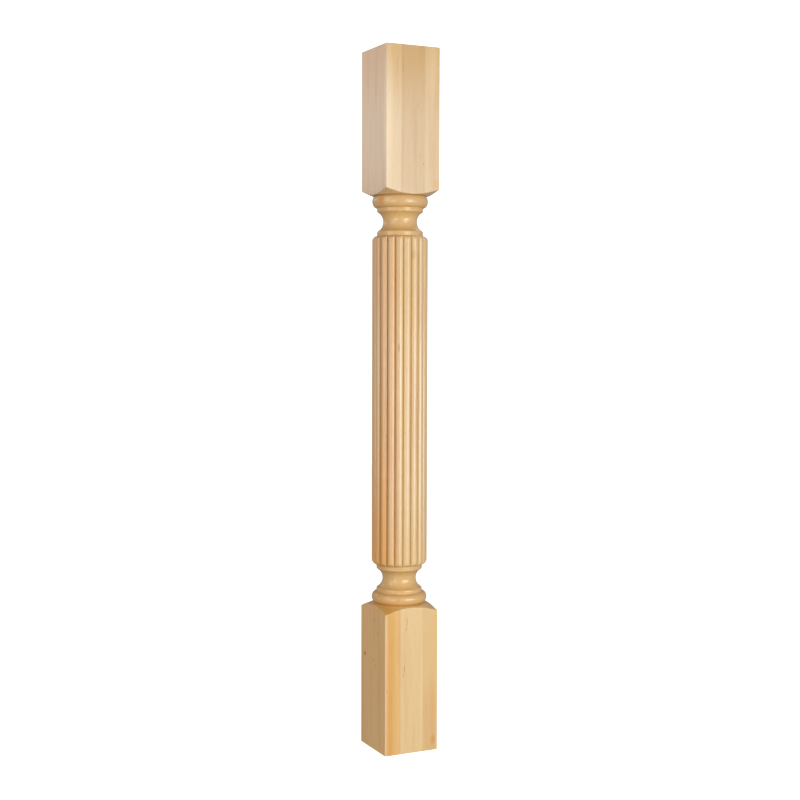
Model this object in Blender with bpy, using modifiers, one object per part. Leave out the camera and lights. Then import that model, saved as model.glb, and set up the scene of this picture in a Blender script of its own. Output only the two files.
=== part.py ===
"""Reeded wood post: a square leg of laminated hard maple, turned and reeded between its two blocks.

The post is made the way a shop makes it. A square blank keeps its full section at the foot and at
the top. The lathe cuts all between them, and leaves at each end of the reeded shaft a bead, a
fillet, a cove and a second fillet. A last cut runs the reeds along the shaft. All lengths are in
metres. The origin is the centre of the foot, and +Z is up.
"""

import math

import bmesh
import bpy

# Blank
POST_WIDTH = 0.0889
POST_HEIGHT = 1.0668

# Square blocks, each measured along an arris from the end of the post to its shoulder
FOOT_BLOCK_LENGTH = 0.2156
TOP_BLOCK_LENGTH = 0.2108

# Turned members between a block and the shaft, alike at both ends, measured along the axis
SHOULDER_LENGTH = 0.00855
SEAT_LENGTH = 0.00065
BEAD_LENGTH = 0.0181
BEAD_FILLET_LENGTH = 0.0057
COVE_LENGTH = 0.0294
SHAFT_FILLET_LENGTH = 0.0068
SHAFT_END_ROUNDING = 0.0085

# The same members measured across the axis, each depth taken from the member before it. The
# shoulder's cone ends on a nearly flat seat, which stands a little outside the bead. A quirk, which
# is a small sharp groove, parts the bead from the seat.
TURNING_ALLOWANCE = 0.0020
SEAT_MARGIN = 0.0012
BEAD_PROJECTION = 0.0074
QUIRK_DEPTH = 0.0042
COVE_DEPTH = 0.0093

# Reeds
REED_COUNT = 20
GROOVE_DEPTH = 0.0044

# Fineness of the facets
TURNING_STEPS = 80
BEAD_STEPS = 8
COVE_STEPS = 8
ROUNDING_STEPS = 5
REED_STEPS = 8

# How far a cutting shape runs past what it cuts
CUT_MARGIN = 0.0040
# How far the turned shaft stands outside the crests before the reeds are cut into it
REEDING_ALLOWANCE = 0.0004

MERGE_DISTANCE = 0.00001
SHARP_ANGLE = math.radians(28.0)
MAPLE_COLOUR = (0.73, 0.50, 0.27, 1.0)
SATIN_ROUGHNESS = 0.38

CORNER_RADIUS = POST_WIDTH / math.sqrt(2.0)
CREST_RADIUS = POST_WIDTH / 2.0 - TURNING_ALLOWANCE
GROOVE_RADIUS = CREST_RADIUS - GROOVE_DEPTH
FILLET_RADIUS = CREST_RADIUS - BEAD_PROJECTION
SEAT_RADIUS = CREST_RADIUS + SEAT_MARGIN
OUTSIDE_RADIUS = CORNER_RADIUS + CUT_MARGIN

MEMBERS_LENGTH = BEAD_LENGTH + BEAD_FILLET_LENGTH + COVE_LENGTH + SHAFT_FILLET_LENGTH
SHAFT_START = FOOT_BLOCK_LENGTH + SHOULDER_LENGTH + SEAT_LENGTH + MEMBERS_LENGTH
SHAFT_END = POST_HEIGHT - TOP_BLOCK_LENGTH - SHOULDER_LENGTH - SEAT_LENGTH - MEMBERS_LENGTH


def clear_scene():
    """Removes what the scene holds at the start."""
    for obj in list(bpy.data.objects):
        bpy.data.objects.remove(obj, do_unlink=True)


def new_collection(name):
    """Returns a new collection under the scene."""
    collection = bpy.data.collections.new(name)
    bpy.context.scene.collection.children.link(collection)
    return collection


def maple():
    """Returns the wood's material."""
    material = bpy.data.materials.new("clear_finished_maple")
    material.use_nodes = True
    shader = material.node_tree.nodes["Principled BSDF"]
    shader.inputs["Base Color"].default_value = MAPLE_COLOUR
    shader.inputs["Roughness"].default_value = SATIN_ROUGHNESS
    shader.inputs["Metallic"].default_value = 0.0
    return material


def arc(start, end, rise, steps):
    """Returns the points of a round arc between two points, without the start itself.

    The arc's middle stands off its chord by rise: to the right of the way from start to end if
    rise is positive, and to the left if it is negative.
    """
    along = (end[0] - start[0], end[1] - start[1])
    chord = math.hypot(*along)
    right = (along[1] / chord, -along[0] / chord)
    radius = (chord * chord / 4.0 + rise * rise) / (2.0 * abs(rise))
    half_angle = 2.0 * math.atan2(2.0 * abs(rise), chord)
    points = []
    for step in range(1, steps + 1):
        turn = half_angle * (2.0 * step / steps - 1.0)
        share = 0.5 + radius * math.sin(turn) / chord
        off = math.copysign(radius * (math.cos(turn) - math.cos(half_angle)), rise)
        x = start[0] + along[0] * share + right[0] * off
        y = start[1] + along[1] * share + right[1] * off
        points.append((x, y))
    return points


def bead(start, length, steps):
    """Returns the points of a bead from its fillet to the quirk at the block, without the start.

    The outline is half an ellipse, cut short where it meets the block's seat. The length is
    negative where the bead runs down the axis.
    """
    last_turn = math.pi - math.asin(1.0 - QUIRK_DEPTH / BEAD_PROJECTION)
    whole_length = 2.0 * length / (1.0 - math.cos(last_turn))
    turns = [last_turn * step / steps for step in range(1, steps + 1)]
    return [
        (
            start[0] + BEAD_PROJECTION * math.sin(turn),
            start[1] + whole_length * (1.0 - math.cos(turn)) / 2.0,
        )
        for turn in turns
    ]


def member_profile(shaft_end, away):
    """Returns (radius, height) points from the shaft's rounded end to outside the block's arris.

    The heights run from shaft_end in the direction away: 1 is up, and -1 is down.
    """
    rounding_depth = CREST_RADIUS + REEDING_ALLOWANCE - FILLET_RADIUS
    points = []
    for step in range(ROUNDING_STEPS + 1):
        turn = 0.5 * math.pi * step / ROUNDING_STEPS
        radius = FILLET_RADIUS + rounding_depth * math.cos(turn)
        points.append((radius, shaft_end - away * SHAFT_END_ROUNDING * (1.0 - math.sin(turn))))
    cove_start = (FILLET_RADIUS, shaft_end + away * SHAFT_FILLET_LENGTH)
    cove_end = (FILLET_RADIUS, cove_start[1] + away * COVE_LENGTH)
    bead_start = (FILLET_RADIUS, cove_end[1] + away * BEAD_FILLET_LENGTH)
    bead_end = bead_start[1] + away * BEAD_LENGTH
    points.append(cove_start)
    points += arc(cove_start, cove_end, -away * COVE_DEPTH, COVE_STEPS)
    points.append(bead_start)
    points += bead(bead_start, away * BEAD_LENGTH, BEAD_STEPS)
    seat_end = bead_end + away * SEAT_LENGTH
    points.append((SEAT_RADIUS, seat_end))
    slope = SHOULDER_LENGTH / (CORNER_RADIUS - SEAT_RADIUS)
    points.append((OUTSIDE_RADIUS, seat_end + away * slope * (OUTSIDE_RADIUS - SEAT_RADIUS)))
    return points


def turning_profile():
    """Returns the lathe's whole cut as (radius, height) points, from the top down to the foot."""
    above = POST_HEIGHT + CUT_MARGIN
    below = -CUT_MARGIN
    upper = member_profile(SHAFT_END, 1.0)
    lower = member_profile(SHAFT_START, -1.0)
    top_end = [(0.0, above), (OUTSIDE_RADIUS, above)]
    foot_end = [(OUTSIDE_RADIUS, below), (0.0, below)]
    return top_end + upper[::-1] + lower + foot_end


def turning(collection):
    """Returns the turned solid that the blank is cut down to."""
    points = turning_profile()
    edges = [(i, i + 1) for i in range(len(points) - 1)]
    mesh = bpy.data.meshes.new("turning")
    mesh.from_pydata([(radius, 0.0, height) for radius, height in points], edges, [])
    obj = bpy.data.objects.new("turning", mesh)
    collection.objects.link(obj)
    screw = obj.modifiers.new("lathe", "SCREW")
    screw.axis = "Z"
    screw.angle = 2.0 * math.pi
    screw.steps = TURNING_STEPS
    screw.render_steps = TURNING_STEPS
    screw.use_merge_vertices = True
    screw.merge_threshold = MERGE_DISTANCE
    return obj


def turned_point(x, y, turn):
    """Returns the (x, y) point turned about the axis."""
    return (
        x * math.cos(turn) - y * math.sin(turn),
        x * math.sin(turn) + y * math.cos(turn),
    )


def reed_outline():
    """Returns the (x, y) points of the reeded section, with a groove at the middle of each face."""
    pitch = 2.0 * math.pi / REED_COUNT
    groove_x, groove_y = turned_point(GROOVE_RADIUS, 0.0, pitch / 2.0)
    reed = arc((groove_x, -groove_y), (groove_x, groove_y), CREST_RADIUS - groove_x, REED_STEPS)
    points = []
    for number in range(REED_COUNT):
        points += [turned_point(x, y, (number + 0.5) * pitch) for x, y in reed]
    return points


def circle_outline(radius, steps):
    """Returns the (x, y) points of a circle."""
    return [turned_point(radius, 0.0, 2.0 * math.pi * step / steps) for step in range(steps)]


def reeding(collection):
    """Returns the ring that is cut away around the reeds, from one shaft fillet to the other."""
    low = SHAFT_START - SHAFT_FILLET_LENGTH / 2.0
    high = SHAFT_END + SHAFT_FILLET_LENGTH / 2.0
    curve = bpy.data.curves.new("reeding", "CURVE")
    curve.dimensions = "2D"
    curve.fill_mode = "BOTH"
    curve.extrude = (high - low) / 2.0
    for outline in (circle_outline(OUTSIDE_RADIUS, TURNING_STEPS), reed_outline()):
        spline = curve.splines.new("POLY")
        spline.points.add(len(outline) - 1)
        for point, (x, y) in zip(spline.points, outline):
            point.co = (x, y, 0.0, 1.0)
        spline.use_cyclic_u = True
    guide = bpy.data.objects.new("reeding_guide", curve)
    guide.location = (0.0, 0.0, (high + low) / 2.0)
    collection.objects.link(guide)
    return meshed(guide, "reeding", collection)


def meshed(guide, name, collection):
    """Returns the curve as a closed mesh object, and removes the curve."""
    bpy.context.view_layer.update()
    graph = bpy.context.evaluated_depsgraph_get()
    mesh = bpy.data.meshes.new_from_object(guide.evaluated_get(graph))
    welded = bmesh.new()
    welded.from_mesh(mesh)
    bmesh.ops.remove_doubles(welded, verts=welded.verts, dist=MERGE_DISTANCE)
    bmesh.ops.recalc_face_normals(welded, faces=welded.faces)
    welded.to_mesh(mesh)
    welded.free()
    obj = bpy.data.objects.new(name, mesh)
    obj.matrix_world = guide.matrix_world
    collection.objects.link(obj)
    bpy.data.objects.remove(guide, do_unlink=True)
    return obj


def blank(name, collection):
    """Returns the square blank, standing on the origin."""
    bpy.ops.mesh.primitive_cube_add(size=1.0, location=(0.0, 0.0, POST_HEIGHT / 2.0))
    obj = bpy.context.active_object
    obj.name = name
    obj.data.name = name
    obj.scale = (POST_WIDTH, POST_WIDTH, POST_HEIGHT)
    bpy.ops.object.transform_apply(location=True, rotation=False, scale=True)
    for other in list(obj.users_collection):
        other.objects.unlink(obj)
    collection.objects.link(obj)
    return obj


def cut(obj, operation, cutter):
    """Cuts the object with a Boolean, and leaves the cutter as a helper."""
    boolean = obj.modifiers.new(cutter.name, "BOOLEAN")
    boolean.operation = operation
    boolean.solver = "EXACT"
    boolean.object = cutter
    bpy.context.view_layer.objects.active = obj
    bpy.ops.object.modifier_apply(modifier=boolean.name)
    cutter.hide_render = True
    cutter.display_type = "WIRE"


def shade(obj):
    """Shades the round surfaces smooth, and keeps the arrises and grooves sharp."""
    obj.data.shade_smooth()
    obj.data.set_sharp_from_angle(angle=SHARP_ANGLE)


def main():
    """Builds the post."""
    clear_scene()
    parts = new_collection("reeded_wood_post")
    cutters = new_collection("cutters")
    post = blank("reeded_post", parts)
    post.data.materials.append(maple())
    cut(post, "INTERSECT", turning(cutters))
    cut(post, "DIFFERENCE", reeding(cutters))
    shade(post)
    cutters.hide_render = True


main()
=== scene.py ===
"""Looks of a reeded wood post: a turned island leg of laminated hard maple, clear lacquered.

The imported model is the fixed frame. One detailed piece stands for the whole post: square blocks
with eased arrises, coned shoulders, beads, fillets, coves and a shaft of twenty reeds. Lengths are
in metres, heights run up +Z from the foot, and the post's axis is the Z axis.
"""

import logging
import math
from collections.abc import Sequence
from dataclasses import dataclass, field
from enum import Enum

import bmesh
import bpy
import numpy as np
from mathutils import Matrix, Vector


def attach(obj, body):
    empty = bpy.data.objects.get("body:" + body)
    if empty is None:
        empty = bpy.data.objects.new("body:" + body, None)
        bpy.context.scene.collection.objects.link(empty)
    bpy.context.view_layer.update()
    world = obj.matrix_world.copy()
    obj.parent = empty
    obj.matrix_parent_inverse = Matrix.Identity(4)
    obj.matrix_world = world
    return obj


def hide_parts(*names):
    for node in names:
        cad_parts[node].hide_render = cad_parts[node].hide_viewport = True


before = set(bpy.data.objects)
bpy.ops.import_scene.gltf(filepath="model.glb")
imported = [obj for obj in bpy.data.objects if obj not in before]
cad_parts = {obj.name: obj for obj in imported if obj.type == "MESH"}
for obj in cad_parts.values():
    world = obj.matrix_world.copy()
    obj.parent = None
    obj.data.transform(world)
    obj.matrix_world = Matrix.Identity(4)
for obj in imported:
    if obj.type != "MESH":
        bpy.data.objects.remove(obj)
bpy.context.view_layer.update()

MM = 0.001

FLECK = "#7C4A24"
HEART = "#E0A356"
ROSY = "#E3A583"

log = logging.getLogger("reeded_post")

Socket = bpy.types.NodeSocket


class Board(Enum):
    """The three boards that the blank was glued up from, numbered along X."""

    OUTER_LEFT = 0
    CORE = 1
    OUTER_RIGHT = 2


def linear(colour: str) -> tuple[float, float, float, float]:
    """Turns an sRGB hex colour into linear light.

    Args:
        colour: Six hex digits with a leading #.

    Returns:
        Red, green and blue in linear light, and an alpha of 1.
    """
    channels = [int(colour[i : i + 2], 16) / 255.0 for i in (1, 3, 5)]
    light = [c / 12.92 if c <= 0.04045 else ((c + 0.055) / 1.055) ** 2.4 for c in channels]
    return (light[0], light[1], light[2], 1.0)


def deselect_all() -> None:
    """Leaves nothing selected, because loading the frame leaves its nodes selected."""
    if bpy.context.mode != "OBJECT":
        bpy.ops.object.mode_set(mode="OBJECT")
    bpy.ops.object.select_all(action="DESELECT")


class Blend(Enum):
    """How a tone is laid on the wood: over it as a glaze, or into it as a stain."""

    GLAZE = "MIX"
    STAIN = "MULTIPLY"


@dataclass(frozen=True)
class Mark:
    """A single mark in the wood that stands out on one face, drawn out along the grain.

    Attributes:
        place: Its middle, in millimetres.
        length: Its length along the grain, in millimetres.
        width: Its width across the grain, in millimetres.
        strength: How far it changes the wood's colour, from 0 to 1.
        colour: Its colour as sRGB hex.
        lean: How far it leans from the post's axis, in degrees about X and about Y.
    """

    place: tuple[float, float, float]
    length: float
    width: float
    strength: float
    colour: str
    lean: tuple[float, float] = (0.0, 0.0)


@dataclass(frozen=True)
class Fade:
    """A smooth change of one value while another goes from a start to a stop.

    Attributes:
        start: Where the change starts.
        stop: Where it ends.
        before: The value up to the start.
        after: The value past the stop.
    """

    start: float
    stop: float
    before: float = 0.0
    after: float = 1.0


@dataclass(frozen=True)
class Figure:
    """The size of an uneven pattern in the wood.

    Attributes:
        across: Size of a feature across the grain.
        along: Size of a feature along the grain.
        detail: How many finer layers lie on it.
        layer_strength: How strong each finer layer is beside the one before it.
    """

    across: float
    along: float
    detail: float
    layer_strength: float = 0.55


@dataclass
class LaminatedMaple:
    """Hard maple, glued up, turned and sanded, under a sprayed clear satin lacquer.

    Maple is a pale wood with hardly any pores. What the eye gets is a cream to tan colour that
    drifts from board to board, faint growth lines, a few short brown flecks, an orange streak where
    a board holds heartwood, and the small bright gleams that a film of lacquer gives on round
    members. End grain drinks more lacquer, and so looks darker and more orange, and the tone laid
    on by slope is also painted shade. Painted shade darkens the grooves, the foot's quirk and the
    top end, painted light turns the left face pinker, and a painted highlight pales the arrises.
    """

    name: str = "clear_lacquered_hard_maple"
    glue_plane: float = 19.05 * MM
    post_height: float = 1066.8 * MM
    roughness: tuple[float, float] = (0.45, 0.56)
    specular: float = 0.25
    ior: float = 1.50
    coat_roughness: float = 0.20
    coat_weight: float = 0.80
    coat_ior: float = 1.50
    # Each board's colour at the foot block, on the shaft and at the top block
    board_colours: tuple = (
        (Board.OUTER_LEFT, ("#E8BC7C", "#DDB88A", "#E5CDA9")),
        (Board.CORE, ("#E6C893", "#E3C79B", "#DAC09A")),
        (Board.OUTER_RIGHT, ("#E1C088", "#DBBF93", "#E2CBA5")),
    )
    # Where the foot block's colour ends, the shaft's starts and ends, and the top block's starts
    board_stations: tuple[float, float, float, float] = (0.20, 0.34, 0.785, 0.798)
    # How far each board is moved from the last, so that no figure runs across a glue line
    board_step: tuple[float, float, float] = (0.013, 0.171, 2.37)
    # Painted shade: a darker, yellower top end
    top_shade_tint: str = "#F6E7C8"
    top_shade_height: Fade = Fade(0.885, 1.0)
    # Broad bands that lean to pink or to yellow
    drift: Figure = Figure(14.0 * MM, 200.0 * MM, 1.0)
    drift_tints: tuple = ((0.30, "#F2D9C8"), (0.50, "#FFFFFF"), (0.70, "#FFF4DA"))
    drift_strength: float = 0.40
    # The heartwood streak of the left board, and how its two edges wander
    heart_wander: float = 7.0 * MM
    heart_wave: Figure = Figure(60.0 * MM, 160.0 * MM, 0.0)
    heart_start: Fade = Fade(-41.5 * MM, -35.5 * MM)
    heart_end: Fade = Fade(-31.5 * MM, -24.0 * MM, 1.0, 0.0)
    heart_height: Fade = Fade(0.30, 0.62, 0.80, 0.0)
    # The yellow band beside it, on the foot block alone
    yellow_edge: str = "#DDB865"
    yellow_start: Fade = Fade(-32.5 * MM, -28.0 * MM, 0.0, 0.60)
    yellow_end: Fade = Fade(-27.5 * MM, -22.5 * MM, 1.0, 0.0)
    yellow_height: Fade = Fade(0.20, 0.25, 1.0, 0.0)
    # The sapwood edge shows on the front, not on the flat-sawn left face. Painted light pinks its
    # top
    sap_edge: str = "#EBC892"
    sap_width: Fade = Fade(-43.0 * MM, -37.5 * MM, 0.60, 0.0)
    sap_depth: Fade = Fade(-44.2 * MM, -42.0 * MM, 1.0, 0.0)
    left_face_light_tint: str = "#F9ECE4"
    left_face_plane: float = -44.0 * MM
    left_face_light_height: Fade = Fade(0.50, 0.82)
    # The lacquer pools in the grooves, and crests are rubbed paler. The grooves' tone is painted
    # shade too
    groove_pooling_and_shade: str = "#F6EED0"
    groove_radius: Fade = Fade(39.0 * MM, 41.6 * MM, 1.0, 0.0)
    # Middles of the two runs of turned members, and how far from a middle their tone goes
    member_middles: tuple[float, float] = (254.9 * MM, 816.6 * MM)
    member_tone: str = "#DDB67F"
    member_reach: Fade = Fade(28.5 * MM, 30.5 * MM, 0.72, 0.0)
    # Growth rings round a pith that lies outside the blank. A ring wave repeats every
    # 2 pi / (20 scale) metres, which is 3.1 mm here
    growth_line: str = "#B98550"
    pith_place: tuple[float, float, float] = (0.085, -0.012, 0.0)
    pith_lean: tuple[float, float] = (0.4, -1.3)
    arch_stretch: float = 0.12
    ring_scale: float = 101.0
    ring_waver: float = 9.0
    waver_detail: float = 2.0
    waver_scale: float = 18.0
    waver_roughness: float = 0.6
    ring_strength: Fade = Fade(0.45, 1.0, 0.0, 0.05)
    # Flecks, pores and the ridges that sanding leaves along the fibres
    flecks: Figure = Figure(2.2 * MM, 22.0 * MM, 1.0)
    fleck_strength: Fade = Fade(0.74, 0.83, 0.0, 0.22)
    pores: Figure = Figure(0.8 * MM, 16.0 * MM, 1.0)
    pore_tints: tuple = ((0.28, "#FFFAF2"), (0.50, "#FBF3E8"), (0.72, "#EEDCC6"))
    pore_strength: float = 0.35
    fibres: Figure = Figure(1.0 * MM, 30.0 * MM, 2.0)
    ring_relief: float = 0.35
    relief_strength: float = 0.16
    relief_height: float = 0.2 * MM
    glue: str = "#B8905F"
    glue_width: Fade = Fade(0.15 * MM, 0.55 * MM, 0.18, 0.0)
    # Painted highlight along the blocks' long arrises
    painted_arris_highlight: str = "#F7E3C4"
    arris_reach: Fade = Fade(42.9 * MM, 43.9 * MM, 0.0, 0.60)
    # End grain's deeper tone, and painted shade on the sloped faces of shoulders, beads and coves
    slope_tone_and_shade: str = "#C6963C"
    slope_tone_and_shade_reach: Fade = Fade(0.15, 1.0, 0.0, 0.42)
    # A mark keeps its colour up to this part of its reach, and is gone a little past its edge
    mark_core: float = 0.3
    mark_rim: float = 1.3
    marks: tuple = (
        # Brown flecks on the wide face
        Mark((-7.8, -44.45, 203.0), 14.0, 1.0, 0.60, FLECK, (0.0, 4.0)),
        Mark((-9.0, -44.45, 192.0), 9.0, 1.0, 0.45, FLECK, (0.0, 12.0)),
        Mark((-12.2, -44.45, 131.0), 12.0, 1.2, 0.60, FLECK, (0.0, 2.0)),
        Mark((-14.0, -44.45, 121.0), 7.0, 1.1, 0.55, FLECK, (0.0, 8.0)),
        Mark((-16.9, -44.45, 1032.0), 15.0, 1.2, 0.25, FLECK),
        Mark((7.8, -44.45, 979.0), 9.0, 1.0, 0.30, FLECK),
        Mark((17.1, -44.45, 892.0), 2.6, 1.8, 0.60, FLECK),
        # Brown flecks on the left face, and two faint darker bands high on it
        Mark((-44.45, -6.2, 201.0), 9.0, 1.5, 0.62, FLECK, (-25.0, 0.0)),
        Mark((-44.45, -18.2, 184.0), 9.0, 1.5, 0.62, FLECK, (15.0, 0.0)),
        Mark((-44.45, -3.0, 138.5), 6.0, 1.7, 0.75, FLECK, (-50.0, 0.0)),
        Mark((-44.45, -10.0, 130.0), 8.0, 1.5, 0.70, FLECK, (-20.0, 0.0)),
        Mark((-44.45, 6.4, 113.0), 9.0, 1.5, 0.62, FLECK),
        Mark((-44.45, -19.0, 96.0), 14.0, 1.4, 0.35, FLECK),
        Mark((-44.45, -5.0, 1000.0), 60.0, 4.0, 0.12, FLECK),
        Mark((-44.45, -22.0, 985.0), 40.0, 3.0, 0.10, FLECK),
        # The pin knot, in its orange ring
        Mark((-44.45, 29.1, 142.8), 10.0, 8.0, 0.50, "#D27A3A"),
        Mark((-44.45, 29.1, 142.8), 5.0, 3.8, 1.0, "#8A2C08"),
        # Paler and more orange streaks on the foot block, and a darker patch at its lower right
        Mark((16.5, -44.45, 100.0), 210.0, 4.5, 0.30, "#F4D9A8"),
        Mark((-44.45, 38.0, 80.0), 170.0, 14.0, 0.35, "#DD9458"),
        Mark((35.0, -44.45, 75.0), 130.0, 15.0, 0.25, HEART),
        Mark((36.6, -44.45, 16.0), 18.0, 9.0, 0.45, "#C48838"),
        # An orange corner low on the top block, and two pale runs
        Mark((43.0, -44.45, 862.0), 18.0, 24.0, 0.40, HEART),
        Mark((-42.5, -46.5, 965.0), 235.0, 21.0, 0.45, "#FAE4BC"),
        Mark((31.0, -44.45, 1035.0), 100.0, 26.0, 0.16, "#FFEDCB"),
        # A yellow patch where the streak meets the foot shoulder
        Mark((-33.0, -44.45, 200.0), 62.0, 17.0, 0.55, "#D9AC5A"),
        # Streaks and two darker spots on the reeds
        Mark((2.5, -42.4, 642.0), 130.0, 5.0, 0.35, "#F0A866"),
        Mark((-36.8, -21.1, 690.0), 200.0, 6.0, 0.18, "#E8A880"),
        Mark((-16.4, -39.1, 610.0), 230.0, 6.0, 0.28, "#EADFB8"),
        Mark((-19.6, -37.6, 618.0), 14.0, 3.5, 0.55, "#9C8458"),
        Mark((2.5, -42.4, 757.0), 16.0, 10.0, 0.40, "#C8983E"),
        # Orange right edge of the wide face on the top block
        Mark((36.9, -44.45, 955.0), 190.0, 8.0, 0.25, "#E2AC7C"),
        # Deeper tone of both beads, an orange patch, painted shade in the lower crevice, and the
        # glue line
        Mark((0.0, 0.0, 233.8), 26.0, 150.0, 0.42, "#DBA25A"),
        Mark((0.0, 0.0, 837.8), 26.0, 150.0, 0.22, "#CE9C5C"),
        Mark((-39.0, -15.4, 839.0), 20.0, 13.0, 0.60, "#DC8C48"),
        # Painted shade in the foot's quirk, where the bead meets the shoulder
        Mark((0.0, 0.0, 226.8), 4.0, 120.0, 0.50, "#9C6A2C"),
        Mark((-19.05, -37.9, 234.0), 24.0, 1.4, 0.45, "#A06C34"),
        # Rosy far edge of the left face on the top block
        Mark((-44.45, 40.0, 1050.0), 70.0, 18.0, 0.30, ROSY),
        Mark((-44.45, 40.0, 885.0), 80.0, 14.0, 0.30, ROSY),
    )

    # Set while the material is built: its nodes, what gives the point, and its colour so far
    tree: bpy.types.NodeTree = field(init=False)
    place: Socket = field(init=False)
    x: Socket = field(init=False)
    y: Socket = field(init=False)
    z: Socket = field(init=False)
    board: Socket = field(init=False)
    shifted: Socket = field(init=False)
    colour: Socket = field(init=False)

    def build(self) -> bpy.types.Material:
        """Makes the material.

        Returns:
            The finished material.
        """
        material = bpy.data.materials.new(self.name)
        material.use_nodes = True
        self.tree = material.node_tree
        self.tree.nodes.clear()
        self._find_point()
        self._board_colour()
        self._drift()
        self._heart_and_sap()
        self._paint_left_face_light()
        self._paint_groove_pooling_and_shade()
        self._members()
        growth = self._growth_lines()
        self._flecks_and_pores()
        self._marks()
        self._glue_lines()
        self._paint_arris_highlight()
        self._paint_slope_tone_and_shade()
        fibre = self._noise(self.fibres)
        low, high = self.roughness
        rough = self._add("MapRange", {"Value": fibre, "To Min": low, "To Max": high})
        height = self._maths("MULTIPLY_ADD", growth, self.ring_relief, fibre)
        bump = self._add(
            "Bump",
            {"Height": height, "Strength": self.relief_strength, "Distance": self.relief_height},
        )
        shader = self._add(
            "BsdfPrincipled",
            {
                "Base Color": self.colour,
                "Roughness": rough.outputs[0],
                "Normal": bump.outputs[0],
                "IOR": self.ior,
                "Specular IOR Level": self.specular,
                "Coat Weight": self.coat_weight,
                "Coat Roughness": self.coat_roughness,
                "Coat IOR": self.coat_ior,
            },
        )
        self._add("OutputMaterial", {"Surface": shader.outputs[0]})
        return material

    def _add(
        self,
        kind: str,
        inputs: dict | None = None,
        stops: Sequence[tuple[float, str]] = (),
        **settings: str,
    ) -> bpy.types.Node:
        """Adds a node to the material.

        Args:
            kind: The node's type name in Blender, without its "ShaderNode" prefix.
            inputs: A constant, or the socket that feeds it, for inputs by name or number.
            stops: Position and sRGB hex colour of each stop, where the node is a colour ramp.
            **settings: Values of the node's own properties.

        Returns:
            The new node.
        """
        node = self.tree.nodes.new("ShaderNode" + kind)
        for name, value in settings.items():
            setattr(node, name, value)
        for name, value in (inputs or {}).items():
            if isinstance(value, Socket):
                self.tree.links.new(value, node.inputs[name])
            else:
                node.inputs[name].default_value = value
        for number, (position, colour) in enumerate(stops):
            elements = node.color_ramp.elements
            element = elements[number] if number < 2 else elements.new(position)
            element.position = position
            element.color = linear(colour)
        return node

    def _maths(self, operation: str, *inputs: float | Socket) -> Socket:
        """Does one step of arithmetic.

        Args:
            operation: The node's operation.
            *inputs: Its inputs in order.

        Returns:
            The result.
        """
        return self._add("Math", dict(enumerate(inputs)), operation=operation).outputs[0]

    def _length(self, vector: Socket) -> Socket:
        """Measures a vector.

        Args:
            vector: The vector.

        Returns:
            Its length.
        """
        return self._add("VectorMath", {0: vector}, operation="LENGTH").outputs["Value"]

    def _noise(self, figure: Figure) -> Socket:
        """Makes noise that is drawn out along the grain.

        Args:
            figure: The size of its features.

        Returns:
            The noise, from about 0.2 to 0.8.
        """
        per_metre = (1.0 / figure.across, 1.0 / figure.across, 1.0 / figure.along)
        mapped = self._add("Mapping", {"Vector": self.shifted, "Scale": per_metre})
        inputs = {
            "Vector": mapped.outputs[0],
            "Scale": 1.0,
            "Detail": figure.detail,
            "Roughness": figure.layer_strength,
        }
        return self._add("TexNoise", inputs).outputs["Fac"]

    def _faded(self, fade: Fade, value: Socket) -> Socket:
        """Follows a fade.

        Args:
            fade: The fade.
            value: The value that it follows.

        Returns:
            What the fade gives at that value.
        """
        inputs = dict(enumerate((value, fade.start, fade.stop, fade.before, fade.after)))
        return self._add("MapRange", inputs, interpolation_type="SMOOTHSTEP").outputs[0]

    def _mix(self, amount: float | Socket, tone: tuple | Socket, blend: Blend) -> None:
        """Lays a tone on the colour so far.

        Args:
            amount: How strongly, from 0 to 1.
            tone: The tone in linear light.
            blend: How it is laid on.
        """
        inputs = {0: amount, 6: self.colour, 7: tone}
        mixed = self._add("Mix", inputs, data_type="RGBA", blend_type=blend.value)
        self.colour = mixed.outputs[2]

    def _tone(self, tone: str, *fades: tuple[Fade, Socket], blend: Blend = Blend.GLAZE) -> None:
        """Lays a tone on the colour so far, as strongly as the product of some fades.

        Args:
            tone: The tone as sRGB hex.
            *fades: Each fade, with the value that it follows.
            blend: How the tone is laid on.
        """
        amount, *others = (self._faded(fade, value) for fade, value in fades)
        for other in others:
            amount = self._maths("MULTIPLY", amount, other)
        self._mix(amount, linear(tone), blend)

    def _find_point(self) -> None:
        """Finds the point, its board's number, and its place once the boards are moved apart.

        Each board is moved on its own, so that no figure runs across a glue line.
        """
        self.place = self._add("TexCoord").outputs["Object"]
        self.x, self.y, self.z = self._add("SeparateXYZ", {0: self.place}).outputs
        past_left, past_right = (
            self._maths("GREATER_THAN", self.x, plane)
            for plane in (-self.glue_plane, self.glue_plane)
        )
        self.board = self._maths("ADD", past_left, past_right)
        scaled = {0: self.board_step, "Scale": self.board}
        step = self._add("VectorMath", scaled, operation="SCALE").outputs[0]
        moved = self._add("VectorMath", {0: self.place, 1: step}, operation="ADD")
        self.shifted = moved.outputs[0]

    def _board_colour(self) -> None:
        """Gives each board a colour that drifts along its length, and paints shade at the top."""
        share = self._add("MapRange", {"Value": self.z, "From Max": self.post_height}).outputs[0]
        for number, (foot, shaft, top) in self.board_colours:
            stops = list(zip(self.board_stations, (foot, shaft, shaft, top)))
            ramp = self._add("ValToRGB", {0: share}, stops).outputs[0]
            if number is Board.OUTER_LEFT:
                self.colour = ramp
            else:
                reached = self._maths("GREATER_THAN", self.board, number.value - 0.5)
                self._mix(reached, ramp, Blend.GLAZE)
        self._tone(self.top_shade_tint, (self.top_shade_height, share), blend=Blend.STAIN)

    def _drift(self) -> None:
        """Adds broad bands, 14 mm across and 0.2 m along, that lean to pink or to yellow."""
        tint = self._add("ValToRGB", {0: self._noise(self.drift)}, self.drift_tints)
        self._mix(self.drift_strength, tint.outputs[0], Blend.STAIN)

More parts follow.
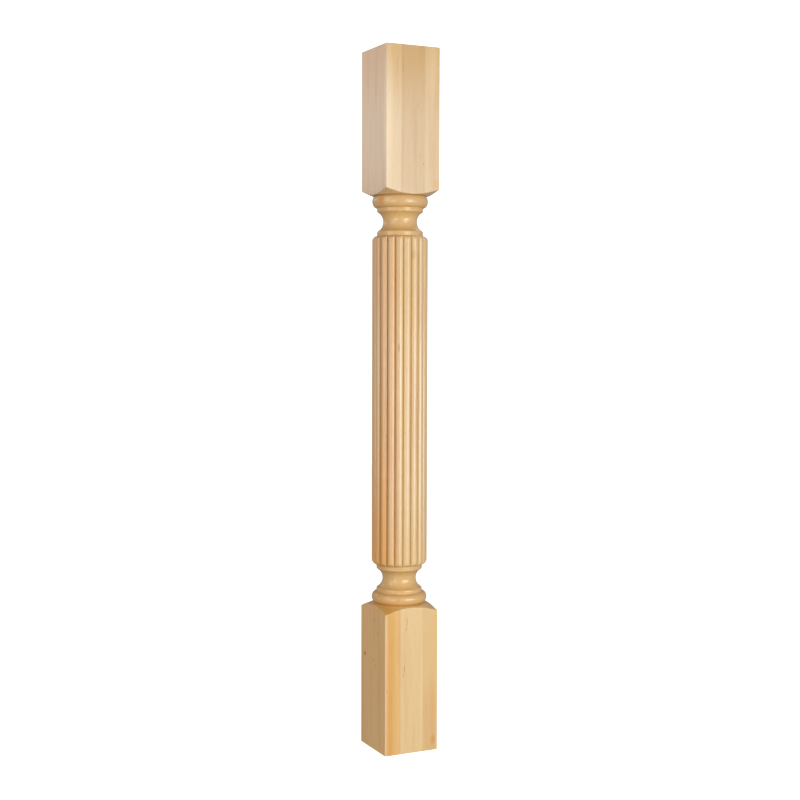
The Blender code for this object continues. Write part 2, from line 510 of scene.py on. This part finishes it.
    def _heart_and_sap(self) -> None:
        """Adds the left board's orange heartwood streak, and its yellow and pale edges.

        The streak is 12 mm wide, strongest at the foot, and gone half way up the shaft.
        """
        wave = self._noise(self.heart_wave)
        wandering = self._maths("MULTIPLY_ADD", wave, self.heart_wander, self.x)
        self._tone(
            self.yellow_edge,
            (self.yellow_start, self.x),
            (self.yellow_height, self.z),
            (self.yellow_end, self.x),
        )
        self._tone(
            HEART,
            (self.heart_start, wandering),
            (self.heart_end, wandering),
            (self.heart_height, self.z),
        )
        self._tone(
            self.sap_edge,
            (self.sap_width, self.x),
            (self.sap_depth, self.y),
            (self.heart_height, self.z),
        )

    def _paint_left_face_light(self) -> None:
        """Paints light on the left face, which turns it pinker towards the top."""
        on_face = self._maths("LESS_THAN", self.x, self.left_face_plane)
        higher = self._faded(self.left_face_light_height, self.z)
        amount = self._maths("MULTIPLY", on_face, higher)
        self._mix(amount, linear(self.left_face_light_tint), Blend.STAIN)

    def _paint_groove_pooling_and_shade(self) -> None:
        """Warms the grooves between the reeds, where the lacquer pools, and paints shade in them.
        """
        flat = self._add("CombineXYZ", {0: self.x, 1: self.y}).outputs[0]
        radius = self._length(flat)
        self._tone(self.groove_pooling_and_shade, (self.groove_radius, radius), blend=Blend.STAIN)

    def _members(self) -> None:
        """Evens out and warms the turned members, where open grain drank more lacquer."""
        lower, upper = (
            self._maths("ABSOLUTE", self._maths("SUBTRACT", self.z, middle))
            for middle in self.member_middles
        )
        nearer = self._maths("MINIMUM", lower, upper)
        self._tone(self.member_tone, (self.member_reach, nearer))

    def _growth_lines(self) -> Socket:
        """Adds the yearly growth lines, about 3 mm apart, which arch on the flat-sawn faces.

        Returns:
            The line's strength, for the bump.
        """
        lean_x, lean_y = (math.radians(lean) for lean in self.pith_lean)
        pith = self._add(
            "Mapping",
            {
                "Vector": self.shifted,
                "Location": self.pith_place,
                "Rotation": (lean_x, lean_y, 0.0),
                "Scale": (1.0, 1.0, self.arch_stretch),
            },
        )
        rings = self._add(
            "TexWave",
            {
                "Vector": pith.outputs[0],
                "Scale": self.ring_scale,
                "Distortion": self.ring_waver,
                "Detail": self.waver_detail,
                "Detail Scale": self.waver_scale,
                "Detail Roughness": self.waver_roughness,
            },
            wave_type="RINGS",
            rings_direction="Z",
            wave_profile="SIN",
        )
        line = self._faded(self.ring_strength, rings.outputs["Fac"])
        self._mix(line, linear(self.growth_line), Blend.GLAZE)
        return line

    def _flecks_and_pores(self) -> None:
        """Adds sparse brown flecks, about 1 mm by 10 mm, and fine pores.

        Pores are a tenth of a millimetre across. They are drawn 0.8 mm wide so that they show.
        """
        self._tone(FLECK, (self.fleck_strength, self._noise(self.flecks)))
        pore = self._add("ValToRGB", {0: self._noise(self.pores)}, self.pore_tints)
        self._mix(self.pore_strength, pore.outputs[0], Blend.STAIN)

    def _marks(self) -> None:
        """Adds the single flecks, the pin knot and the coloured patches that stand out."""
        for mark in self.marks:
            size = (mark.width, mark.width, mark.length)
            lean_x, lean_y = (math.radians(lean) for lean in mark.lean)
            centred = self._add(
                "Mapping",
                {
                    "Vector": self.place,
                    "Location": tuple(c * MM for c in mark.place),
                    "Rotation": (lean_x, lean_y, 0.0),
                    "Scale": tuple(0.5 * s * MM for s in size),
                },
                vector_type="TEXTURE",
            )
            reach = Fade(self.mark_core, self.mark_rim, mark.strength, 0.0)
            self._tone(mark.colour, (reach, self._length(centred.outputs[0])))

    def _glue_lines(self) -> None:
        """Adds the two glue lines.

        A real one is 0.1 mm wide. It is drawn 0.7 mm wide so that it shows.
        """
        off = self._maths("SUBTRACT", self._maths("ABSOLUTE", self.x), self.glue_plane)
        self._tone(self.glue, (self.glue_width, self._maths("ABSOLUTE", off)))

    def _paint_arris_highlight(self) -> None:
        """Pales the blocks' long arrises: a painted highlight along the eased edges."""
        across, deep = (self._maths("ABSOLUTE", axis) for axis in (self.x, self.y))
        self._tone(self.painted_arris_highlight, (self.arris_reach, across), (self.arris_reach, deep))

    def _paint_slope_tone_and_shade(self) -> None:
        """Darkens and warms ends, shoulders, beads and coves: end grain's tone, and painted shade.
        """
        normal = self._add("TexCoord").outputs["Normal"]
        upward = self._add("SeparateXYZ", {0: normal}).outputs["Z"]
        self._tone(self.slope_tone_and_shade, (self.slope_tone_and_shade_reach, self._maths("ABSOLUTE", upward)))


@dataclass(frozen=True)
class StudioPaper:
    """Matt white background paper, lit from behind as well, so that it stays white."""

    name: str
    glow: float
    colour: str = "#F4F4F4"
    roughness: float = 0.9
    specular: float = 0.1

    def build(self) -> bpy.types.Material:
        """Makes the material.

        Returns:
            The finished material.
        """
        material = bpy.data.materials.new(self.name)
        material.use_nodes = True
        shader = material.node_tree.nodes["Principled BSDF"]
        shader.inputs["Base Color"].default_value = linear(self.colour)
        shader.inputs["Roughness"].default_value = self.roughness
        shader.inputs["Specular IOR Level"].default_value = self.specular
        shader.inputs["Emission Color"].default_value = linear("#FFFFFF")
        shader.inputs["Emission Strength"].default_value = self.glow
        return material


@dataclass
class ReededPost:
    """The post: two square blocks, two sets of turned members and the reeded shaft.

    Every ring of the mesh has the same number of points. In a block they run round a square with
    eased corners, in the turned members round a circle, and on the shaft round the reeds.
    """

    node: str = "reeded_post"
    width: float = 88.9 * MM
    height: float = 1066.8 * MM
    foot_block: float = 215.6 * MM
    top_block: float = 210.8 * MM
    shoulder: float = 8.55 * MM
    seat: float = 0.65 * MM
    bead: float = 18.1 * MM
    bead_fillet: float = 5.7 * MM
    cove: float = 29.4 * MM
    shaft_fillet: float = 6.8 * MM
    end_rounding: float = 8.5 * MM
    crest_radius: float = 42.45 * MM
    seat_margin: float = 1.2 * MM
    groove_depth: float = 4.4 * MM
    bead_projection: float = 7.4 * MM
    quirk_depth: float = 4.2 * MM
    # How far the lathe left each end's quirk from its drawn place, away from the block
    foot_quirk_shift: float = 1.9 * MM
    top_quirk_shift: float = -1.1 * MM
    cove_depth: float = 9.3 * MM
    reeding_allowance: float = 0.4 * MM
    reeds: int = 20
    # Sanding takes the edge off: how far each arris is eased
    arris_easing: float = 1.5 * MM
    end_easing: float = 0.8 * MM
    shoulder_easing: float = 1.1 * MM
    fillet_easing: float = 1.5 * MM
    reed_softening: float = 0.5 * MM
    least_easing: float = 0.2 * MM
    # Fineness of the mesh
    points: int = 400
    corner_points: int = 12
    bead_rows: int = 18
    cove_rows: int = 20
    rounding_rows: int = 18
    cone_rows: int = 4
    seat_rows: int = 3
    easing_rows: int = 4
    support: float = 0.35 * MM
    reed_run_in: float = 6.0 * MM
    smooth_below: float = 30.0
    angles: np.ndarray = field(init=False)

    def __post_init__(self) -> None:
        """Works out the angle of each point of a round ring."""
        self.angles = 2.0 * np.pi * np.arange(self.points) / self.points

    @property
    def fillet_radius(self) -> float:
        """Radius of the fillets, where the bead and the cove start."""
        return self.crest_radius - self.bead_projection

    @property
    def seat_radius(self) -> float:
        """Radius at which the coned shoulder ends, and the bead's flat seat starts."""
        return self.crest_radius + self.seat_margin

    @property
    def corner_radius(self) -> float:
        """Distance of a block's sharp arris from the axis."""
        return self.width / math.sqrt(2.0)

    def square_outline(self, inset: float = 0.0) -> np.ndarray:
        """Gives the outline of a block, a square with eased corners.

        Args:
            inset: How far the outline lies inside the block's faces.

        Returns:
            One (x, y) row for each point, starting at the middle of the face at +X.
        """
        half = self.width / 2.0 - inset
        ease = max(self.arris_easing - inset, self.least_easing)
        per_side = self.points // 4
        flat = (per_side - self.corner_points) // 2
        lower = [(half, (half - ease) * i / flat) for i in range(flat)]
        turns = [0.5 * math.pi * i / self.corner_points for i in range(self.corner_points)]
        corner = [
            (half - ease + ease * math.cos(t), half - ease + ease * math.sin(t)) for t in turns
        ]
        upper = [(half - ease - (half - ease) * i / flat, half) for i in range(flat)]
        quarter = np.array(lower + corner + upper)
        sides = []
        for number in range(4):
            turn = 0.5 * math.pi * number
            spin = np.array([[math.cos(turn), math.sin(turn)], [-math.sin(turn), math.cos(turn)]])
            sides.append(quarter @ spin)
        return np.concatenate(sides)

    def ring(
        self,
        radius: float | np.ndarray,
        height: float | np.ndarray,
        angles: np.ndarray | None = None,
    ) -> np.ndarray:
        """Gives a ring of points.

        Args:
            radius: Radius of all points or of each.
            height: Height of all points or of each.
            angles: Angle of each point, or the round rings' own angles where it is left out.

        Returns:
            One (x, y, z) row for each point.
        """
        angles = self.angles if angles is None else angles
        height = np.broadcast_to(height, angles.shape)
        return np.stack([radius * np.cos(angles), radius * np.sin(angles), height], 1)

    def reed_radius(self) -> np.ndarray:
        """Gives the shaft's radius at each point, from the round arcs of the reeds.

        Returns:
            The radius at each point of a ring.
        """
        pitch = 2.0 * math.pi / self.reeds
        groove_radius = self.crest_radius - self.groove_depth
        half_chord = groove_radius * math.sin(pitch / 2.0)
        chord_place = groove_radius * math.cos(pitch / 2.0)
        rise = self.crest_radius - chord_place
        arc_radius = (half_chord**2 + rise**2) / (2.0 * rise)
        centre = self.crest_radius - arc_radius
        off_crest = np.mod(self.angles, pitch) - pitch / 2.0
        across = centre * np.sin(off_crest)
        return centre * np.cos(off_crest) + np.sqrt(arc_radius**2 - across**2)

    def bend(self, start: np.ndarray, corner: np.ndarray, stop: np.ndarray) -> list[np.ndarray]:
        """Rounds a corner with a small curve.

        Args:
            start: Where the curve leaves the first side.
            corner: The sharp corner.
            stop: Where the curve meets the second side.

        Returns:
            The curve's points, with both ends.
        """
        steps = [step / self.easing_rows for step in range(self.easing_rows + 1)]
        return [(1 - t) ** 2 * start + 2 * t * (1 - t) * corner + t**2 * stop for t in steps]

    def eased(self, profile: list[tuple[float, float]], corner: int) -> list[tuple[float, float]]:
        """Rounds one outward corner of a turned profile.

        Args:
            profile: (radius, height) points in order.
            corner: Number of the point to round.

        Returns:
            The profile with the corner's point replaced by a small curve.
        """
        before, point, after = (np.array(profile[corner + i]) for i in (-1, 0, 1))
        start = point + (before - point) * self.fillet_easing / np.linalg.norm(before - point)
        stop = point + (after - point) * self.fillet_easing / np.linalg.norm(after - point)
        curve = [(float(r), float(z)) for r, z in self.bend(start, point, stop)]
        return profile[:corner] + curve + profile[corner + 1 :]

    def arc(
        self, start: tuple[float, float], length: float, rise: float, rows: int
    ) -> list[tuple[float, float]]:
        """Gives a round arc of a turned profile, whose chord runs along the axis.

        Args:
            start: (radius, height) of its first point.
            length: Length of its chord.
            rise: How far its middle stands out from the chord, or goes in where it is negative.
            rows: How many steps it has.

        Returns:
            Its points after the first.
        """
        radius = (length**2 / 4.0 + rise**2) / (2.0 * abs(rise))
        half_angle = 2.0 * math.atan2(2.0 * abs(rise), length)
        spots = []
        for step in range(1, rows + 1):
            turn = half_angle * (2.0 * step / rows - 1.0)
            off = math.copysign(radius * (math.cos(turn) - math.cos(half_angle)), rise)
            spots.append((start[0] + off, start[1] + length / 2.0 + radius * math.sin(turn)))
        return spots

    def bead_outline(self, start: float, length: float) -> list[tuple[float, float]]:
        """Gives the outline of a bead, half an ellipse that the quirk at the block cuts short.

        Args:
            start: Height of the quirk.
            length: Length of the bead.

        Returns:
            (radius, height) points from the quirk to the bead's fillet.
        """
        first_turn = math.asin(1.0 - self.quirk_depth / self.bead_projection)
        whole_length = 2.0 * length / (1.0 + math.cos(first_turn))
        rows = self.bead_rows
        turns = [first_turn + (math.pi - first_turn) * row / rows for row in range(rows + 1)]
        return [
            (
                self.fillet_radius + self.bead_projection * math.sin(t),
                start + 0.5 * whole_length * (math.cos(first_turn) - math.cos(t)),
            )
            for t in turns
        ]

    def members(self, start: float, shift: float) -> list[tuple[float, float]]:
        """Gives the turned members between a shoulder and the shaft's rounded end.

        Args:
            start: Height at which the bead is drawn to start, measured from the end of the post.
            shift: How far its quirk lies from there.

        Returns:
            (radius, height) points, from the quirk to the shaft fillet's inner end.
        """
        root = self.fillet_radius
        bead_end = start + self.bead
        cove_start = bead_end + self.bead_fillet
        cove_end = cove_start + self.cove
        profile = self.bead_outline(start + shift, self.bead - shift)
        profile.append((root, cove_start - self.fillet_easing - self.support))
        first_edge = len(profile)
        profile.append((root, cove_start))
        profile += self.arc((root, cove_start), self.cove, -self.cove_depth, self.cove_rows)
        second_edge = len(profile) - 1
        profile.append((root, cove_end + self.fillet_easing + self.support))
        profile.append((root, cove_end + self.shaft_fillet))
        profile = self.eased(profile, second_edge)
        return self.eased(profile, first_edge)

    def block_rings(self, block: float, shift: float) -> list[np.ndarray]:
        """Gives the rings of a block and its shoulder, from the end of the post inwards.

        Args:
            block: Length of the block along an arris.
            shift: How far the quirk lies from its drawn place.

        Returns:
            The rings, with heights measured from the end of the post.
        """
        rings = []
        for step in range(self.easing_rows + 1):
            turn = 0.5 * math.pi * step / self.easing_rows
            outline = self.square_outline(self.end_easing * (1.0 - math.sin(turn)))
            level = np.full(self.points, self.end_easing * (1.0 - math.cos(turn)))
            rings.append(np.column_stack([outline, level]))
        outline = self.square_outline()
        radius = np.hypot(outline[:, 0], outline[:, 1])
        angle = np.unwrap(np.arctan2(outline[:, 1], outline[:, 0]))
        slope = self.shoulder / (self.corner_radius - self.seat_radius)
        seat = block + self.shoulder
        arris = seat - slope * (radius - self.seat_radius)
        tilt = math.atan(slope)
        setback = self.shoulder_easing * math.tan(0.5 * (0.5 * math.pi - tilt))
        first_level = np.full(self.points, self.end_easing + self.support)
        rings.append(np.column_stack([outline, first_level]))
        rings.append(np.column_stack([outline, arris - setback - self.support]))
        below = np.stack([radius, arris - setback])
        corner = np.stack([radius, arris])
        on_cone = np.stack([radius - setback * math.cos(tilt), arris + setback * math.sin(tilt)])
        rings += [self.ring(*spot, angle) for spot in self.bend(below, corner, on_cone)]
        for step in range(1, self.cone_rows + 1):
            t = step / self.cone_rows
            reach = (1 - t) * on_cone[0] + t * self.seat_radius
            level = seat - slope * (reach - self.seat_radius)
            rings.append(self.ring(reach, level, (1 - t) * angle + t * self.angles))
        for step in range(1, self.seat_rows + 1):
            t = step / self.seat_rows
            reach = (1 - t) * self.seat_radius + t * (self.crest_radius - self.quirk_depth)
            rings.append(self.ring(reach, seat + t * (self.seat + shift)))
        return rings

    def end_rings(self, block: float, shift: float) -> list[np.ndarray]:
        """Gives all rings from one end of the post to the full reeded section.

        Args:
            block: Length of that end's block along an arris.
            shift: How far that end's quirk lies from its drawn place.

        Returns:
            The rings, with heights measured from that end.
        """
        rings = self.block_rings(block, shift)
        turned = self.members(block + self.shoulder + self.seat, shift)
        rings += [self.ring(radius, level) for radius, level in turned[1:]]
        reeds = self.reed_radius()
        depth = self.crest_radius + self.reeding_allowance - self.fillet_radius
        start = turned[-1][1]
        for step in range(1, self.rounding_rows + 1):
            turn = 0.5 * math.pi * step / self.rounding_rows
            round_end = self.fillet_radius + depth * math.sin(turn)
            level = start + self.end_rounding * (1.0 - math.cos(turn))
            near = np.maximum(self.reed_softening - np.abs(reeds - round_end), 0.0)
            radius = np.minimum(reeds, round_end) - near**2 / (4.0 * self.reed_softening)
            rings.append(self.ring(radius, level))
        rings.append(self.ring(reeds, start + self.end_rounding + self.reed_run_in))
        return rings

    def all_rings(self) -> list[np.ndarray]:
        """Gives every ring of the post, from the foot up.

        Returns:
            The rings in the post's own place.
        """
        lower = self.end_rings(self.foot_block, self.foot_quirk_shift)
        upper = self.end_rings(self.top_block, self.top_quirk_shift)[::-1]
        for ring in upper:
            ring[:, 2] = self.height - ring[:, 2]
        return lower + upper

    def shape_ring(self, post: bpy.types.Object, ring: np.ndarray) -> None:
        """Puts the selected ring of vertices onto its outline.

        Args:
            post: The post, in edit mode.
            ring: The ring's points in order.
        """
        shape = bmesh.from_edit_mesh(post.data)
        chosen = [vertex for vertex in shape.verts if vertex.select]
        # A small turn, so that rounding can't sort the first point last
        nudge = 0.25 * math.pi / self.points
        full_turn = 2.0 * math.pi
        chosen.sort(key=lambda v: (math.atan2(v.co.y, v.co.x) + nudge) % full_turn)
        for vertex, spot in zip(chosen, ring):
            vertex.co = spot
        bmesh.update_edit_mesh(post.data)

    def build(self, finish: LaminatedMaple) -> bpy.types.Object:
        """Models the post and dresses it.

        A filled circle is drawn up ring by ring, as a turner works along a blank.

        Args:
            finish: The wood's finish.

        Returns:
            The finished post.
        """
        deselect_all()
        rings = self.all_rings()
        bpy.ops.mesh.primitive_circle_add(
            vertices=self.points,
            radius=self.width / 2.0,
            fill_type="NGON",
            location=(0.0, 0.0, 0.0),
        )
        post = bpy.context.active_object
        post.name = "turned_maple_post"
        post.data.name = post.name
        bpy.ops.object.mode_set(mode="EDIT")
        bpy.ops.mesh.select_mode(type="VERT")
        bpy.ops.mesh.select_all(action="SELECT")
        self.shape_ring(post, rings[0])
        for ring in rings[1:]:
            # A small lift, because each ring is then put onto its own outline
            bpy.ops.mesh.extrude_region_move(TRANSFORM_OT_translate={"value": (0.0, 0.0, 0.5 * MM)})
            self.shape_ring(post, ring)
        bpy.ops.mesh.select_all(action="SELECT")
        bpy.ops.mesh.normals_make_consistent(inside=False)
        bpy.ops.mesh.select_all(action="DESELECT")
        bpy.ops.object.mode_set(mode="OBJECT")
        bpy.ops.object.shade_smooth_by_angle(angle=math.radians(self.smooth_below))
        post.data.materials.append(finish.build())
        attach(post, "root")
        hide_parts(self.node)
        return post


@dataclass(frozen=True)
class Softbox:
    """A rectangular soft light on a stand, aimed at the post.

    Attributes:
        name: The light's name.
        azimuth: Where it stands, in degrees. 0 is in front of the wide face, 90 is at +X.
        distance: How far from the post's axis it stands.
        height: Height of its middle.
        size: Its width and height.
        power: Its power in watts.
        aim: Height that it points at.
        colour: Its colour as sRGB hex.
    """

    name: str
    azimuth: float
    distance: float
    height: float
    size: tuple[float, float]
    power: float
    aim: float
    colour: str = "#FFFFFF"

    def build(self) -> bpy.types.Object:
        """Puts the light in the scene.

        Returns:
            The light's object.
        """
        data = bpy.data.lights.new(self.name, "AREA")
        data.shape = "RECTANGLE"
        data.size, data.size_y = self.size
        data.energy = self.power
        data.color = linear(self.colour)[:3]
        lamp = bpy.data.objects.new(self.name, data)
        turn = math.radians(self.azimuth)
        place = Vector((math.sin(turn), -math.cos(turn), 0.0)) * self.distance
        place.z = self.height
        lamp.location = place
        way = Vector((0.0, 0.0, self.aim)) - place
        lamp.rotation_mode = "QUATERNION"
        lamp.rotation_quaternion = way.to_track_quat("-Z", "Y")
        lamp.visible_camera = False
        bpy.context.scene.collection.objects.link(lamp)
        return lamp


@dataclass
class Studio:
    """A white paper floor with a round white wall, and the lights."""

    floor_radius: float = 4.2
    wall_height: float = 4.0
    wall_inset: float = 10.0 * MM
    sides: int = 96
    surroundings: float = 0.30
    floor: StudioPaper = StudioPaper("matt_white_floor_paper", 0.80)
    wall: StudioPaper = StudioPaper("matt_white_wall_paper", 1.0)
    softboxes: tuple = (
        Softbox("key_low_softbox", 12.0, 2.4, 0.33, (1.1, 0.62), 21.5, 0.50),
        Softbox("key_high_softbox", 12.0, 2.4, 1.02, (1.1, 0.74), 10.5, 0.55),
        Softbox("front_right_softbox", 33.0, 2.4, 0.33, (0.9, 0.62), 7.8, 0.50),
        Softbox("front_left_softbox", -55.0, 2.4, 0.33, (0.9, 0.62), 10.8, 0.50),
        Softbox("left_softbox", -80.0, 2.4, 1.20, (0.9, 2.3), 15.5, 0.55),
        Softbox("rear_left_softbox", -152.0, 2.4, 1.35, (0.9, 0.6), 2.6, 0.90),
        Softbox("rear_right_softbox", 140.0, 2.2, 3.00, (2.6, 2.6), 18.0, 0.50),
    )

    def build_floor(self) -> bpy.types.Object:
        """Lays the floor paper.

        Returns:
            The floor.
        """
        deselect_all()
        bpy.ops.mesh.primitive_circle_add(
            vertices=self.sides,
            radius=self.floor_radius,
            fill_type="NGON",
            location=(0.0, 0.0, 0.0),
        )
        floor = bpy.context.active_object
        floor.name = "floor_paper"
        floor.data.materials.append(self.floor.build())
        # The post's underside gets what a dim room gives, as in a studio with a small paper floor
        floor.visible_diffuse = False
        floor.visible_glossy = False
        return floor

    def build_wall(self) -> bpy.types.Object:
        """Stands the round wall paper on the floor's edge.

        Returns:
            The wall.
        """
        deselect_all()
        bpy.ops.mesh.primitive_cylinder_add(
            vertices=self.sides,
            radius=self.floor_radius - self.wall_inset,
            depth=self.wall_height,
            end_fill_type="NOTHING",
            location=(0.0, 0.0, self.wall_height / 2.0),
        )
        bpy.ops.object.transform_apply(location=True, rotation=False, scale=False)
        wall = bpy.context.active_object
        wall.name = "wall_paper"
        bpy.ops.object.mode_set(mode="EDIT")
        bpy.ops.mesh.select_all(action="SELECT")
        bpy.ops.mesh.flip_normals()
        bpy.ops.object.mode_set(mode="OBJECT")
        wall.data.materials.append(self.wall.build())
        wall.visible_diffuse = False
        wall.visible_glossy = False
        wall.visible_shadow = False
        return wall

    def build_world(self) -> None:
        """Fills the room with a plain soft light."""
        world = bpy.data.worlds.new("studio_room")
        world.use_nodes = True
        sky = world.node_tree.nodes["Background"]
        sky.inputs["Color"].default_value = linear("#FFFFFF")
        sky.inputs["Strength"].default_value = self.surroundings
        bpy.context.scene.world = world

    def build(self) -> None:
        """Builds the whole studio."""
        self.build_floor()
        self.build_wall()
        self.build_world()
        for softbox in self.softboxes:
            softbox.build()
            log.info("light %s", softbox.name)
        bpy.context.scene.view_settings.view_transform = "Standard"


@dataclass(frozen=True)
class PhotoCamera:
    """The camera at the photograph's place, solved from the six corners of the post that show.

    Attributes:
        bearing: Angle between the camera's place and the wide face's own line, in degrees.
        aim_bearing: Angle of its aim, in degrees.
        distance: Its distance from the post's axis, level.
        height: Its height above the foot.
        tilt: How far it looks down, in degrees.
        roll: How far it is turned about its aim, in degrees.
        lens: Focal length in millimetres.
        frame_width: Width of the frame that the focal length goes with, in millimetres.
        clip: Nearest and furthest distance that it sees.
    """

    bearing: float = 25.914
    aim_bearing: float = 25.9316
    distance: float = 2.14127
    height: float = 0.6630
    tilt: float = 3.361
    roll: float = 0.156
    lens: float = 62.9865
    frame_width: float = 36.0
    clip: tuple[float, float] = (0.05, 50.0)

    def build(self) -> bpy.types.Object:
        """Puts the camera in the scene and makes it the scene's own.

        Returns:
            The camera.
        """
        data = bpy.data.cameras.new("photo_camera")
        data.sensor_width = self.frame_width
        data.lens = self.lens
        data.clip_start, data.clip_end = self.clip
        camera = bpy.data.objects.new("photo_camera", data)
        bpy.context.scene.collection.objects.link(camera)
        place_turn = math.radians(self.bearing)
        aim_turn, tilt = math.radians(self.aim_bearing), math.radians(self.tilt)
        aim = Vector(
            (
                math.sin(aim_turn) * math.cos(tilt),
                math.cos(aim_turn) * math.cos(tilt),
                -math.sin(tilt),
            )
        )
        pose = aim.to_track_quat("-Z", "Y").to_matrix().to_4x4()
        pose = pose @ Matrix.Rotation(math.radians(self.roll), 4, "Z")
        pose.translation = (
            -self.distance * math.sin(place_turn),
            -self.distance * math.cos(place_turn),
            self.height,
        )
        camera.matrix_world = pose
        bpy.context.scene.camera = camera
        return camera


def main() -> None:
    """Builds the camera, the post and the studio in order, and reports each."""
    logging.basicConfig(level=logging.INFO, format="%(name)s: %(message)s")
    camera = PhotoCamera().build()
    log.info("camera at %s", [round(c, 4) for c in camera.location])
    post = ReededPost().build(LaminatedMaple())
    log.info("%s: %d faces", post.name, len(post.data.polygons))
    Studio().build()


if __name__ == "__main__":
    main()
